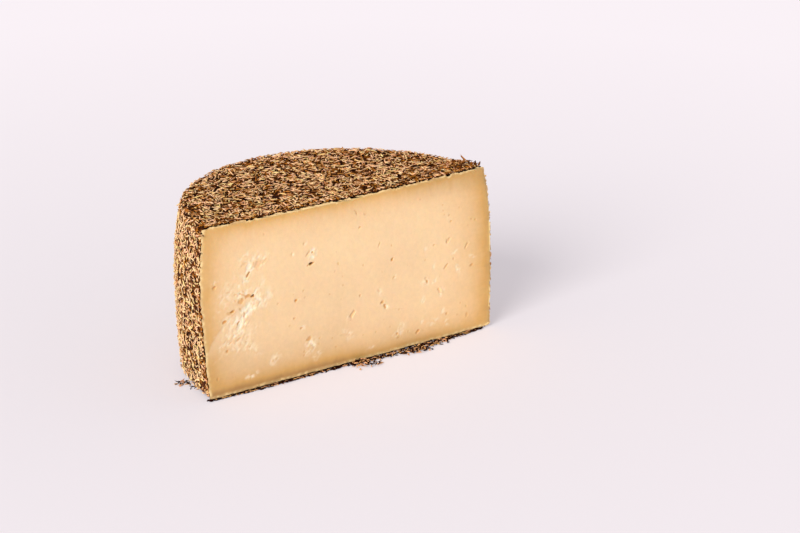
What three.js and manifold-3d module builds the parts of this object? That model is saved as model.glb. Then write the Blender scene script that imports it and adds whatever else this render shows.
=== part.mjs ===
// Half wheel of pressed cheese in a coat of dried herb needles.
//
// Millimetres, +Z up. The wheel was cut straight down across its middle. The cut face looks
// along -Y, with the long way of the cut on X, and the wheel rests on its flat underside.
// The origin is on the ground, below the middle of the box around the half wheel.

import * as THREE from 'three';
import { mergeVertices } from 'three/addons/utils/BufferGeometryUtils.js';
import Module from 'manifold-3d';

// The cheese.
const CHEESE_RADIUS = 100;      // at the widest level of the wheel
const CHEESE_HEIGHT = 100;
const WIDEST_LEVEL = 60;        // height of that level above the cheese's underside
const FOOT_TAPER = 1.9;         // the side draws in by this much from there to the underside,
const TOP_TAPER = 3.7;          // and by this much from there to the top
const EDGE_ROUND = 3;           // rounding of the top and bottom edges
const TOP_DISH = 1.2;           // the middle of the top lies this much below its edge

// The wheel slumped a little while it ripened: its top sits to one side of its foot.
const LEAN_SIDEWAYS = -4.8;     // along X, over the height of the cheese
const LEAN_FORWARD = -6.6;      // along Y, over the height of the cheese

// The coat of herb needles, pressed on all round except over the cut.
const COAT_THICKNESS = 1.5;
const COAT_GAP = 0.3;           // between the cheese and the coat

// Fineness of the surfaces.
const TURN_STEPS = 72;          // around the whole wheel
const CURVE_STEPS = 4;          // along each curve of the profile

const CUTTER_SIZE = 400;        // edge of the block that takes the missing half away

const cheeseBase = COAT_GAP + COAT_THICKNESS;

// The wheel's outline from the middle of the underside to the middle of the top, moved out
// by `grow` everywhere. Each half of the side is a parabola that is upright at the widest level.
function wheelProfile(grow) {
  const base = cheeseBase - grow;
  const top = cheeseBase + CHEESE_HEIGHT + grow;
  const radius = CHEESE_RADIUS + grow;
  const widest = cheeseBase + WIDEST_LEVEL;
  const round = EDGE_ROUND + grow;
  const footRadius = radius - FOOT_TAPER;
  const topRadius = radius - TOP_TAPER;
  const footLevel = base + round;
  const topLevel = top - round;

  const outline = new THREE.Path();
  outline.moveTo(0, base);
  outline.lineTo(footRadius - round, base);
  outline.quadraticCurveTo(footRadius, base, footRadius, footLevel);
  outline.quadraticCurveTo(radius, (footLevel + widest) / 2, radius, widest);
  outline.quadraticCurveTo(radius, (widest + topLevel) / 2, topRadius, topLevel);
  outline.quadraticCurveTo(topRadius, top, topRadius - round, top);
  outline.quadraticCurveTo(topRadius / 2, top - TOP_DISH, 0, top - TOP_DISH);
  return outline.getPoints(CURVE_STEPS);
}

// The leaning of the whole wheel: every level slides sideways and forward by its height.
function leanMatrix() {
  const middle = cheeseBase + CHEESE_HEIGHT / 2;
  const sideways = LEAN_SIDEWAYS / CHEESE_HEIGHT;
  const forward = LEAN_FORWARD / CHEESE_HEIGHT;
  return new THREE.Matrix4().set(
    1, 0, sideways, -sideways * middle,
    0, 1, forward, -forward * middle,
    0, 0, 1, 0,
    0, 0, 0, 1,
  );
}

function wheelGeometry(grow) {
  const geometry = new THREE.LatheGeometry(wheelProfile(grow), TURN_STEPS);
  geometry.rotateX(Math.PI / 2);
  geometry.applyMatrix4(leanMatrix());
  return geometry;
}

// The block in front of the cut plane.
function cutterGeometry() {
  const geometry = new THREE.BoxGeometry(CUTTER_SIZE, CUTTER_SIZE, CUTTER_SIZE);
  geometry.translate(0, -CUTTER_SIZE / 2, 0);
  return geometry;
}

const wasm = await Module();
wasm.setup();

function toSolid(geometry) {
  const bare = geometry.clone();
  bare.deleteAttribute('normal');
  bare.deleteAttribute('uv');
  const merged = mergeVertices(bare, 1e-4);
  return new wasm.Manifold(new wasm.Mesh({
    numProp: 3,
    vertProperties: new Float32Array(merged.attributes.position.array),
    triVerts: new Uint32Array(merged.index.array),
  }));
}

function toGeometry(solid) {
  const mesh = solid.getMesh();
  const geometry = new THREE.BufferGeometry();
  geometry.setAttribute('position', new THREE.BufferAttribute(mesh.vertProperties, 3));
  geometry.setIndex(new THREE.BufferAttribute(mesh.triVerts, 1));
  geometry.computeVertexNormals();
  return geometry;
}

function namedMesh(name, solid, material) {
  const mesh = new THREE.Mesh(toGeometry(solid), material);
  mesh.name = name;
  return mesh;
}

// The cheese with its own thin rind: one pressed body, cut flat.
function makeCheese() {
  const solid = toSolid(wheelGeometry(0)).subtract(toSolid(cutterGeometry()));
  const paste = new THREE.MeshStandardMaterial({ color: 0xf3c896, roughness: 0.5, metalness: 0 });
  return namedMesh('cheese', solid, paste);
}

// The herb needles as one open shell over the top, the side and the underside.
function makeHerbCoat() {
  const outside = toSolid(wheelGeometry(COAT_GAP + COAT_THICKNESS));
  const inside = toSolid(wheelGeometry(COAT_GAP));
  const solid = outside.subtract(inside).subtract(toSolid(cutterGeometry()));
  const herbs = new THREE.MeshStandardMaterial({ color: 0x9b6d44, roughness: 0.9, metalness: 0 });
  return namedMesh('herb_coat', solid, herbs);
}

const halfWheel = new THREE.Group();
halfWheel.add(makeCheese(), makeHerbCoat());

const box = new THREE.Box3().setFromObject(halfWheel, true);
const middle = box.getCenter(new THREE.Vector3());
halfWheel.position.set(-middle.x, -middle.y, -box.min.z);
halfWheel.updateMatrixWorld(true);

export default halfWheel;
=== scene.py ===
# Half wheel of pressed cheese in a coat of dried herb needles, on a pale studio floor.
#
# Metres, +Z up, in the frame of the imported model: the cut face looks along -Y, the long way of
# the cut lies on X, and the wheel stands on Z = 0. Every piece is a surface worked out on a grid.

import math

import bmesh
import bpy
import numpy as np
from bpy.props import FloatProperty, FloatVectorProperty, IntProperty, PointerProperty
from mathutils import Matrix, Vector


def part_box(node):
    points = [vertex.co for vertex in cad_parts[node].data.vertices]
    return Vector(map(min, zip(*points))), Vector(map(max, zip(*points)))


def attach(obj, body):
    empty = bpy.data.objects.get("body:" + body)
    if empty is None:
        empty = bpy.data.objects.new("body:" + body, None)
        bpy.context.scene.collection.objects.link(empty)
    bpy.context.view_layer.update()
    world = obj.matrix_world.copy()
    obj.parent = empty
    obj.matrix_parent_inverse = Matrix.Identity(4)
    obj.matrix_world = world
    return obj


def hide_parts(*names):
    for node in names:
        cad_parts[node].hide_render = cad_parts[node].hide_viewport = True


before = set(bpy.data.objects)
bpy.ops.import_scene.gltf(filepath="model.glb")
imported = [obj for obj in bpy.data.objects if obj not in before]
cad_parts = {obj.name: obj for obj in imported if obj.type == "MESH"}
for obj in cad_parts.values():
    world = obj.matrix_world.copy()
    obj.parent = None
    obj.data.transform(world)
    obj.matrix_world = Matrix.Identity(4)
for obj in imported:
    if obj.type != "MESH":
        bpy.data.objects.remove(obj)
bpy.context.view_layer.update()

bl_info = {
    "name": "Herb-coated half cheese",
    "version": (1, 0, 0),
    "blender": (4, 5, 0),
    "location": "3D View > Sidebar > Cheese",
    "description": "Makes a half wheel of cheese with its coat of dried herb needles",
    "category": "Object",
}

BODY = "root"
MM = 0.001
SAME_PLACE = 1e-6
FACE_NODE = "cheese"
COAT_NODE = "herb_coat"


# ---------------------------------------------------------------------------------------------
# Sizes and colours


def length_setting(name, description, default):
    """A setting in metres."""
    return FloatProperty(name=name, description=description, default=default, unit="LENGTH")


def angle_setting(name, description, degrees):
    """A setting that is an angle."""
    return FloatProperty(
        name=name, description=description, default=math.radians(degrees), unit="ROTATION"
    )


def colour_setting(name, description, default):
    """A setting that is a colour as a screen shows it."""
    return FloatVectorProperty(
        name=name, description=description, default=default, subtype="COLOR_GAMMA", min=0, max=1
    )


class WheelSettings(bpy.types.PropertyGroup):
    """Sizes of the cheese itself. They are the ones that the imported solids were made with."""

    radius: length_setting("Radius", "At the widest level", 0.100)
    height: length_setting("Height", "Underside to top", 0.100)
    foot_gap: length_setting("Foot gap", "From the ground to the cheese", 0.0018)
    widest_level: length_setting("Widest level", "Above the underside", 0.060)
    foot_taper: length_setting("Foot taper", "How far the side draws in below", 0.0019)
    top_taper: length_setting("Top taper", "How far the side draws in above", 0.0037)
    edge_round: length_setting("Edge rounding", "Of the top and bottom edges", 0.003)
    top_dish: length_setting("Top dish", "How far the middle of the top lies low", 0.0012)
    lean_sideways: length_setting("Lean sideways", "Along X over the height", -0.0048)
    lean_forward: length_setting("Lean forward", "Along Y over the height", -0.0066)
    pressed_in: length_setting("Pressed in", "How far needles sink the surface behind the cut", 0.0009)


class PasteSettings(bpy.types.PropertyGroup):
    """Colours of the cheese and the fineness of its cut face."""

    cream: colour_setting("Paste", "Middle of the cut face", (0.985, 0.85, 0.66))
    ochre: colour_setting("Ripened zone", "Darker zone under the rind", (0.895, 0.70, 0.41))
    # The ripest colour is mostly painted shade along the lower edge of the cut, near the floor.
    ripest_and_foot_shade: colour_setting("Ripest zone", "Where the cheese stood", (0.76, 0.575, 0.335))
    rim: colour_setting("Rim", "Thin pale line at the rind", (1.0, 0.875, 0.62))
    torn: colour_setting("Torn paste", "Crumbled patches", (1.0, 0.94, 0.82))
    # The eye colours are the eyes' own brown with painted shade, darkest in the deepest bowls.
    eye_tint_and_shade: colour_setting("Shallow eyes", "Inside of the small holes", (0.85, 0.60, 0.30))
    deep_eye_shade: colour_setting("Deep eyes", "Inside of the deepest holes", (0.42, 0.27, 0.12))
    step: length_setting("Face step", "Grid step of the cut face", 0.0005)
    seed: IntProperty(name="Seed", description="Of the small eyes and the grain", default=11)


class HerbSettings(bpy.types.PropertyGroup):
    """Sizes and colours of the herb needles."""

    length: length_setting("Needle length", "Middle value", 0.0034)
    width: length_setting("Needle width", "Middle value", 0.0010)
    density: FloatProperty(
        name="Density", description="Needles on each square centimetre", default=56.0
    )
    lowest: length_setting("Lowest needle", "Over the sunk surface", 0.0001)
    highest: length_setting("Highest needle", "Over the sunk surface", 0.0024)
    clump: length_setting("Clumps", "Size of the heaps and gaps", 0.0034)
    straw: colour_setting("Straw", "Palest needles", (1.0, 0.80, 0.60))
    tan: colour_setting("Tan", "Most needles", (0.74, 0.455, 0.14))
    dark: colour_setting("Dark", "Darkest needles and the bed", (0.16, 0.03, 0.0))
    green: colour_setting("Green tint", "Over needles that kept some green", (0.97, 1.0, 0.88))
    mauve: colour_setting("Mauve tint", "Over reddish needles", (0.97, 0.93, 0.97))
    seed: IntProperty(name="Seed", description="Of the whole coat", default=5)


class StageSettings(bpy.types.PropertyGroup):
    """Floor, lights and camera."""

    floor: colour_setting("Floor", "Colour of the floor", (0.99, 0.972, 0.985))
    sky: colour_setting("Room light", "Colour of the light from all round", (0.97, 0.955, 0.98))
    wall: colour_setting("Wall", "Colour seen beyond the floor", (0.975, 0.955, 0.965))
    sky_strength: FloatProperty(
        name="Room light strength", description="From all round", default=0.50
    )
    key_strength: FloatProperty(
        name="Key light", description="Strength of the soft main light", default=3.2
    )
    key_spread: angle_setting("Key spread", "Angle that the main light fills", 30)
    key_azimuth: angle_setting("Key azimuth", "Side the main light comes from", -66)
    key_elevation: angle_setting("Key elevation", "Above the floor", 29)
    azimuth: angle_setting("Camera azimuth", "0 looks along +Y", -36.6)
    elevation: angle_setting("Camera elevation", "Above the floor", 20.18)
    roll: angle_setting("Camera roll", "About its axis", 0.49)
    distance: length_setting("Camera distance", "To the aim", 1.462)
    lens: FloatProperty(name="Lens", description="Millimetres of focal length", default=108.45)
    aim: FloatVectorProperty(
        name="Aim", description="From the middle of the cut, on the floor",
        default=(0.0712, 0.050, 0.0299), subtype="TRANSLATION", unit="LENGTH",
    )


def wheel_settings():
    """Sizes of the cheese, as the scene holds them."""
    return bpy.context.scene.cheese_wheel


def paste_settings():
    """Colours of the cheese, as the scene holds them."""
    return bpy.context.scene.cheese_paste


def herb_settings():
    """Sizes and colours of the needles, as the scene holds them."""
    return bpy.context.scene.cheese_herbs


def stage_settings():
    """Floor, lights and camera, as the scene holds them."""
    return bpy.context.scene.cheese_stage


# ---------------------------------------------------------------------------------------------
# The shape of the wheel

# Points of the curves up the side: on each rounded edge, and on each half of the side.
EDGE_STEPS = 24
SIDE_STEPS = 60

# The share of the way round the back at which the needles have sunk the skin fully.
SUNK_FROM = 0.08


def quadratic(start, control, end, steps):
    """Points of a quadratic curve: (1-t)^2 start + 2t(1-t) control + t^2 end, t from 0 to 1."""
    t = np.linspace(0, 1, steps)[:, None]
    start, control, end = np.array(start), np.array(control), np.array(end)
    return (1 - t) ** 2 * start + 2 * t * (1 - t) * control + t ** 2 * end


def side_curve(wheel, grow, edge_round=None):
    """Radius and level up the side, from the flat underside round to the flat top, moved out by
    grow. The rounded edges and both halves of the side are quadratic curves, as in the solids."""
    if edge_round is None:
        edge_round = wheel.edge_round
    base = wheel.foot_gap - grow
    top = wheel.foot_gap + wheel.height + grow
    radius = wheel.radius + grow
    widest = wheel.foot_gap + wheel.widest_level
    rounding = edge_round + grow
    foot, head = radius - wheel.foot_taper, radius - wheel.top_taper
    low, high = base + rounding, top - rounding
    parts = (
        quadratic((foot - rounding, base), (foot, base), (foot, low), EDGE_STEPS),
        quadratic((foot, low), (radius, (low + widest) / 2), (radius, widest), SIDE_STEPS),
        quadratic((radius, widest), (radius, (widest + high) / 2), (head, high), SIDE_STEPS),
        quadratic((head, high), (head, top), (head - rounding, top), EDGE_STEPS),
    )
    curve = np.concatenate([parts[0]] + [part[1:] for part in parts[1:]])
    return curve[:, 0], curve[:, 1]


def lean(wheel, level):
    """How far the wheel's own centre has slid along X and Y at a level."""
    share = (level - wheel.foot_gap) / wheel.height - 0.5
    return wheel.lean_sideways * share, wheel.lean_forward * share


def cut_middle(wheel):
    """X of the wheel's centre half way up and Y of the cut plane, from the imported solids' boxes."""
    low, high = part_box(COAT_NODE)
    radius, level = side_curve(wheel, wheel.foot_gap)
    sideways = lean(wheel, level)[0]
    own_middle = ((sideways - radius).min() + (sideways + radius).max()) / 2
    return (low.x + high.x) / 2 - own_middle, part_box(FACE_NODE)[0].y


def centre_at(wheel, level):
    """X and Y of the wheel's centre at each level, in the frame."""
    middle_x, cut_y = cut_middle(wheel)
    sideways, forward = lean(wheel, level)
    return middle_x + sideways, cut_y + forward


def shell_grid(wheel, grow, side_rows, cap_rows, columns):
    """Half wheel without its cut face, as rows from the middle of the cut's lower edge, out over
    the underside, up the side and back over the top. Along a row the angle runs from the cut
    plane on the left, round the back, to the cut plane on the right. Rows of the underside and
    the top are the outer row drawn in towards the middle of the cut, sunk by the top's dish."""
    cut_y = cut_middle(wheel)[1]
    radius, level = side_curve(wheel, grow)
    along = np.concatenate([[0], np.cumsum(np.hypot(np.diff(radius), np.diff(level)))])
    wanted = np.linspace(0, along[-1], side_rows)
    radius, level = np.interp(wanted, along, radius), np.interp(wanted, along, level)
    centre_x, centre_y = centre_at(wheel, level)
    start = np.arcsin((cut_y - centre_y) / radius)
    share = np.linspace(1, 0, columns)[None, :]
    angle = start[:, None] + share * (math.pi - 2 * start[:, None])
    side = np.stack(
        [
            centre_x[:, None] + radius[:, None] * np.cos(angle),
            centre_y[:, None] + radius[:, None] * np.sin(angle),
            np.repeat(level[:, None], columns, 1),
        ],
        -1,
    )
    draw = np.linspace(0, 1, cap_rows)[1:, None, None]
    tops = []
    for row, dish in ((side[0], 0.0), (side[-1], wheel.top_dish)):
        middle = (row[0] + row[-1]) / 2
        cap = row + draw * (middle - row)
        cap[..., 2] -= dish * (1 - (1 - draw[..., 0]) ** 2)
        tops.append(cap)
    return np.concatenate([tops[0][::-1], side, tops[1]])


def sunk_grid(wheel, side_rows, cap_rows, columns):
    """The skin of the cheese behind the cut, as shell_grid gives it, sunk by the needles: not at
    the cut itself, and fully from a little way behind it."""
    flush = shell_grid(wheel, 0.0, side_rows, cap_rows, columns)
    sunk = shell_grid(wheel, -wheel.pressed_in, side_rows, cap_rows, columns)
    way = np.linspace(0, 1, columns)
    share = smooth_step(0, SUNK_FROM, np.minimum(way, 1 - way))[None, :, None]
    return flush + share * (sunk - flush)


# ---------------------------------------------------------------------------------------------
# Mesh building


# Cells along each side of the noise, after which it begins again.
NOISE_CELLS = 255


def lattice(places, cell, seed):
    """Value noise from -1 to 1 on two coordinates: random values at the corners of square cells,
    joined by a smooth step."""
    table = np.random.default_rng(seed).uniform(-1, 1, (NOISE_CELLS + 1, NOISE_CELLS + 1))
    scaled = places / cell
    whole = np.floor(scaled).astype(int)
    part = scaled - whole
    part = part * part * (3 - 2 * part)
    u, v = whole[..., 0] % NOISE_CELLS, whole[..., 1] % NOISE_CELLS
    low = table[u, v] * (1 - part[..., 0]) + table[u + 1, v] * part[..., 0]
    high = table[u, v + 1] * (1 - part[..., 0]) + table[u + 1, v + 1] * part[..., 0]
    return low * (1 - part[..., 1]) + high * part[..., 1]


def layered(places, cell, seed, layers=4):
    """Sum of value noises, each layer half as large and half as strong as the one before."""
    total = sum(lattice(places, cell / 2 ** k, seed + k) / 2 ** k for k in range(layers))
    return total / (2 - 2 ** (1 - layers))


def smooth_step(low, high, value):
    """0 below low, 1 above high, and 3t^2 - 2t^3 between."""
    t = np.clip((value - low) / (high - low), 0, 1)
    return t * t * (3 - 2 * t)


def grid_faces(rows, columns, first=0, flip=False):
    """Quads between neighbouring points of a grid whose points are numbered row by row."""
    index = first + np.arange(rows * columns).reshape(rows, columns)
    quads = np.stack([index[:-1, :-1], index[:-1, 1:], index[1:, 1:], index[1:, :-1]], -1)
    return quads.reshape(-1, 4)[:, ::-1] if flip else quads.reshape(-1, 4)


def new_mesh(name, points, faces):
    """A mesh from points and a list of arrays of faces, each array with one count of corners."""
    mesh = bpy.data.meshes.new(name)
    corners = np.concatenate([part.ravel() for part in faces]).astype(np.int32)
    counts = np.concatenate([np.full(len(part), part.shape[1]) for part in faces])
    starts = np.concatenate([[0], np.cumsum(counts)[:-1]]).astype(np.int32)
    mesh.vertices.add(len(points))
    mesh.vertices.foreach_set("co", np.asarray(points, np.float32).ravel())
    mesh.loops.add(len(corners))
    mesh.loops.foreach_set("vertex_index", corners)
    mesh.polygons.add(len(counts))
    mesh.polygons.foreach_set("loop_start", starts)
    mesh.update(calc_edges=True)
    mesh.shade_smooth()
    return mesh


def set_value(mesh, name, values):
    """One number for each vertex, under a name that a material can read."""
    layer = mesh.attributes.new(name, "FLOAT", "POINT")
    layer.data.foreach_set("value", np.asarray(values, np.float32).ravel())


# Points closer together than the first are merged, and edges shorter than the second go, in
# metres.
SEAM = 2e-6
NO_EDGE = 1e-7


def close_seams(mesh):
    """Merges points that lie on each other, drops the faces that this empties, and turns all
    faces outwards."""
    work = bmesh.new()
    work.from_mesh(mesh)
    bmesh.ops.remove_doubles(work, verts=work.verts, dist=SEAM)
    bmesh.ops.dissolve_degenerate(work, edges=work.edges, dist=NO_EDGE)
    bmesh.ops.recalc_face_normals(work, faces=work.faces)
    work.to_mesh(mesh)
    work.free()


def add_piece(name, mesh, material):
    """An object at the origin that rides on the body and takes its finish from a slot."""
    piece = bpy.data.objects.new(name, mesh)
    bpy.context.scene.collection.objects.link(piece)
    mesh.materials.append(material)
    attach(piece, BODY)
    return piece


def stitch(points, outer, inner, middle):
    """Triangles between two loops that go round the same middle in the XZ plane. Each loop is
    sorted by its angle, and every edge is joined to the other loop's last point before its end."""
    loops = []
    for loop in (outer, inner):
        away = points[loop] - middle
        angle = np.arctan2(away[:, 2], away[:, 0])
        order = np.argsort(angle)
        loops.append((loop[order], angle[order]))
    (a, angle_a), (b, angle_b) = loops
    ends_a, ends_b = np.roll(angle_a, -1), np.roll(angle_b, -1)
    ends_a[-1] += 2 * math.pi
    ends_b[-1] += 2 * math.pi
    near_b = np.searchsorted(angle_b, ends_a, "right") - 1
    near_a = np.searchsorted(angle_a, ends_b, "left") - 1
    near_b[-1] = np.searchsorted(angle_b, angle_a[0], "right") - 1
    near_a[-1] = np.searchsorted(angle_a, angle_b[0], "left") - 1
    first = np.stack([a, np.roll(a, -1), b[near_b]], -1)
    second = np.stack([np.roll(b, -1), b, a[near_a]], -1)
    return np.concatenate([first, second])


# ---------------------------------------------------------------------------------------------
# Shader building


def linear(colour):
    """Linear RGBA of a colour as a screen shows it."""
    rgb = np.asarray(colour[:3], float)
    low = rgb / 12.92
    high = ((rgb + 0.055) / 1.055) ** 2.4
    return (*np.where(rgb <= 0.04045, low, high), 1.0)


class Tree:
    """A node tree that is written as a few short lines."""

    def __init__(self, tree):
        self.tree = tree
        self.count = 0

    def node(self, kind, inputs=None, **settings):
        """Adds a node. Inputs hold values, or output sockets to link."""
        made = self.tree.nodes.new(kind)
        made.location = (220 * (self.count % 8), -260 * (self.count // 8))
        self.count += 1
        for key, value in settings.items():
            setattr(made, key, value)
        for key, value in (inputs or {}).items():
            if isinstance(value, bpy.types.NodeSocket):
                self.link(value, made.inputs[key])
            else:
                made.inputs[key].default_value = value
        return made

    def link(self, output, target):
        """Joins an output socket to an input socket."""
        self.tree.links.new(output, target)

    def times(self, first, second):
        """Product of two values."""
        return self.node("ShaderNodeMath", {0: first, 1: second}, operation="MULTIPLY").outputs[0]

    def mix(self, share, first, second, blend="MIX"):
        """Two colours mixed: none of the second at share 0, all of it at 1."""
        inputs = {0: share, 6: first, 7: second}
        made = self.node("ShaderNodeMix", inputs, data_type="RGBA", blend_type=blend)
        return made.outputs[2]

    def ramp(self, share, stops):
        """Colour ramp with stops of (place, linear RGBA)."""
        made = self.node("ShaderNodeValToRGB", {0: share})
        made.color_ramp.interpolation = "LINEAR"
        elements = made.color_ramp.elements
        elements[0].position, elements[0].color = stops[0]
        elements[1].position, elements[1].color = stops[-1]
        for place, colour in stops[1:-1]:
            elements.new(place).color = colour
        return made.outputs[0]

    def spread(self, value, low, high, to_low=0.0, to_high=1.0):
        """The value moved from one range to another, held at the ends."""
        return self.node(
            "ShaderNodeMapRange", {0: value, 1: low, 2: high, 3: to_low, 4: to_high}
        ).outputs[0]

    def noise(self, place, scale, detail=3.0, roughness=0.5):
        """Noise from 0 to 1 with that many features to a metre."""
        return self.node(
            "ShaderNodeTexNoise",
            {"Vector": place, "Scale": scale, "Detail": detail, "Roughness": roughness},
        ).outputs[0]

    def attribute(self, name):
        """A number that the mesh gives for each point."""
        return self.node("ShaderNodeAttribute", attribute_name=name).outputs["Fac"]

    def object_place(self):
        """The point's place in the object's own coordinates."""
        return self.node("ShaderNodeTexCoord").outputs["Object"]

    def shaded(self, colour, value):
        """The colour, all of its parts multiplied by one value."""
        grey = self.node("ShaderNodeCombineColor", {0: value, 1: value, 2: value}).outputs[0]
        return self.mix(1.0, colour, grey, "MULTIPLY")


def new_material(name, **constants):
    """A material with one Principled shader. Constants go on the shader's own sockets."""
    material = bpy.data.materials.new(name)
    material.use_nodes = True
    tree = Tree(material.node_tree)
    shader = material.node_tree.nodes["Principled BSDF"]
    for key, value in constants.items():
        shader.inputs[key.replace("_", " ")].default_value = value
    return material, tree, shader


def bump(tree, shader, height, distance, strength=1.0):
    """Fine relief on a shader, that far from its lowest to its highest."""
    inputs = {"Height": height, "Distance": distance, "Strength": strength}
    tree.link(tree.node("ShaderNodeBump", inputs).outputs[0], shader.inputs["Normal"])


# The finish of dried leaves: shine, relief in metres, and the number of grains to a metre on
# whole needles and in the bed of crumbs.
LEAF_SHINE = 0.06
LEAF_BUMP = 0.00012
NEEDLE_GRAIN = 1100.0
BED_GRAIN = 1400.0


def leaf_group():
    """Node group with the finish of dried leaves. Tone picks the colour along a row of leaf
    colours, Kind turns some leaves green or red, and fine streaks and blotches lie over it."""
    name = "dried_leaf"
    if name in bpy.data.node_groups:
        return bpy.data.node_groups[name]
    herbs = herb_settings()
    group = bpy.data.node_groups.new(name, "ShaderNodeTree")
    for label, default in (("Tone", 0.5), ("Kind", 0.5), ("Grain Scale", 900.0)):
        socket = group.interface.new_socket(label, in_out="INPUT", socket_type="NodeSocketFloat")
        socket.default_value = default
    group.interface.new_socket("Color", in_out="OUTPUT", socket_type="NodeSocketColor")
    group.interface.new_socket("Height", in_out="OUTPUT", socket_type="NodeSocketFloat")
    group.interface.new_socket("Roughness", in_out="OUTPUT", socket_type="NodeSocketFloat")
    tree = Tree(group)
    given = tree.node("NodeGroupInput").outputs
    place = tree.object_place()
    brown = [0.45 * a + 0.55 * b for a, b in zip(herbs.tan, herbs.dark)]
    bright = [min(1.0, 1.07 * part) for part in herbs.straw]
    row = ((0.0, herbs.dark), (0.24, brown), (0.50, herbs.tan), (0.80, herbs.straw), (1.0, bright))
    base = tree.ramp(given["Tone"], [(at, linear(leaf)) for at, leaf in row])
    green = tree.spread(given["Kind"], 0.62, 0.82)
    mauve = tree.spread(given["Kind"], 0.28, 0.14)
    base = tree.mix(green, base, linear(herbs.green), "MULTIPLY")
    base = tree.mix(mauve, base, linear(herbs.mauve), "MULTIPLY")
    blotch = tree.noise(place, 260.0, 2.0)
    grain = tree.noise(place, given["Grain Scale"], 2.0, 0.6)
    shade = tree.spread(blotch, 0.3, 0.7, 0.72, 1.15)
    shade = tree.times(shade, tree.spread(grain, 0.3, 0.7, 0.85, 1.12))
    rough = tree.spread(grain, 0.3, 0.7, 0.55, 0.8)
    outputs = {"Color": tree.shaded(base, shade), "Height": grain, "Roughness": rough}
    tree.node("NodeGroupOutput", outputs)
    return group


def leaf_material(name, grain):
    """Dried leaves, with the tone and the kind that the mesh gives for each point."""
    if name in bpy.data.materials:
        return bpy.data.materials[name]
    material, tree, shader = new_material(name, Specular_IOR_Level=LEAF_SHINE)
    finish = tree.node("ShaderNodeGroup", node_tree=leaf_group())
    for label, source in (("Tone", "tone"), ("Kind", "kind")):
        tree.link(tree.attribute(source), finish.inputs[label])
    finish.inputs["Grain Scale"].default_value = grain
    tree.link(finish.outputs["Color"], shader.inputs["Base Color"])
    tree.link(finish.outputs["Roughness"], shader.inputs["Roughness"])
    bump(tree, shader, finish.outputs["Height"], LEAF_BUMP)
    return material


# The finish of the cheese: how strong the light inside it is, how far it goes in metres and how
# far for red, green and blue, then shine, relief in metres, and the brightness left where the
# painted shade is darkest.
PASTE_GLOW = 0.35
PASTE_GLOW_REACH = 0.004
PASTE_GLOW_RADIUS = (1.0, 0.55, 0.25)
PASTE_SHINE = 0.35
PASTE_BUMP = 0.00010
DARKEST_PAINTED_SHADE = 0.8


def paste_material():
    """Cheese: colour by the depth under the rind, with painted shade along the lower edge, pale torn
    patches, brown eyes with painted shade in their bowls, painted shade over parts of the face,
    fine mottling, and light that enters the surface everywhere but on the thin rim."""
    paste = paste_settings()
    material, tree, shader = new_material(
        "cheese_paste",
        Subsurface_Scale=PASTE_GLOW_REACH,
        Subsurface_Radius=PASTE_GLOW_RADIUS,
        Specular_IOR_Level=PASTE_SHINE,
    )
    place = tree.object_place()
    broad = tree.noise(place, 28.0, 3.0)
    fine = tree.noise(place, 420.0, 3.0, 0.6)
    patchy = tree.noise(place, 110.0, 2.0)
    ripened_and_foot_shade = tree.attribute("ripened_and_foot_shade")
    ripened_and_foot_shade = tree.times(ripened_and_foot_shade, tree.spread(patchy, 0.3, 0.7, 0.9, 1.1))
    colour = tree.mix(tree.spread(ripened_and_foot_shade, 0.0, 1.0), linear(paste.cream), linear(paste.ochre))
    # Painted shade: past full ripening, mostly along the lower edge, the paste darkens to the ripest
    # colour.
    colour = tree.mix(tree.spread(ripened_and_foot_shade, 1.0, 1.5), colour, linear(paste.ripest_and_foot_shade))
    rim = tree.attribute("rim")
    colour = tree.mix(rim, colour, linear(paste.rim))
    glow = tree.spread(rim, 0.0, 0.6, PASTE_GLOW, 0.0)
    tree.link(glow, shader.inputs["Subsurface Weight"])
    mottle = tree.spread(broad, 0.3, 0.7, 0.965, 1.03)
    mottle = tree.times(mottle, tree.spread(fine, 0.3, 0.7, 0.965, 1.03))
    # Painted shade over the paste, as strong as its attribute says.
    painted_shade = tree.spread(tree.attribute("painted_shade"), 0.0, 1.0, 1.0, DARKEST_PAINTED_SHADE)
    colour = tree.shaded(colour, tree.times(mottle, painted_shade))
    colour = tree.mix(tree.attribute("torn"), colour, linear(paste.torn))
    eye_tint_and_shade = tree.attribute("eye_tint_and_shade")
    # The eyes' own brown, with painted shade that deepens towards the bottoms of their bowls.
    colour = tree.mix(tree.spread(eye_tint_and_shade, 0.0, 0.55), colour, linear(paste.eye_tint_and_shade))
    colour = tree.mix(tree.spread(eye_tint_and_shade, 0.5, 0.95), colour, linear(paste.deep_eye_shade))
    tree.link(colour, shader.inputs["Base Color"])
    rough = tree.spread(fine, 0.3, 0.7, 0.42, 0.58)
    tree.link(rough, shader.inputs["Roughness"])
    bump(tree, shader, fine, PASTE_BUMP, 0.6)
    return material
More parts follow.
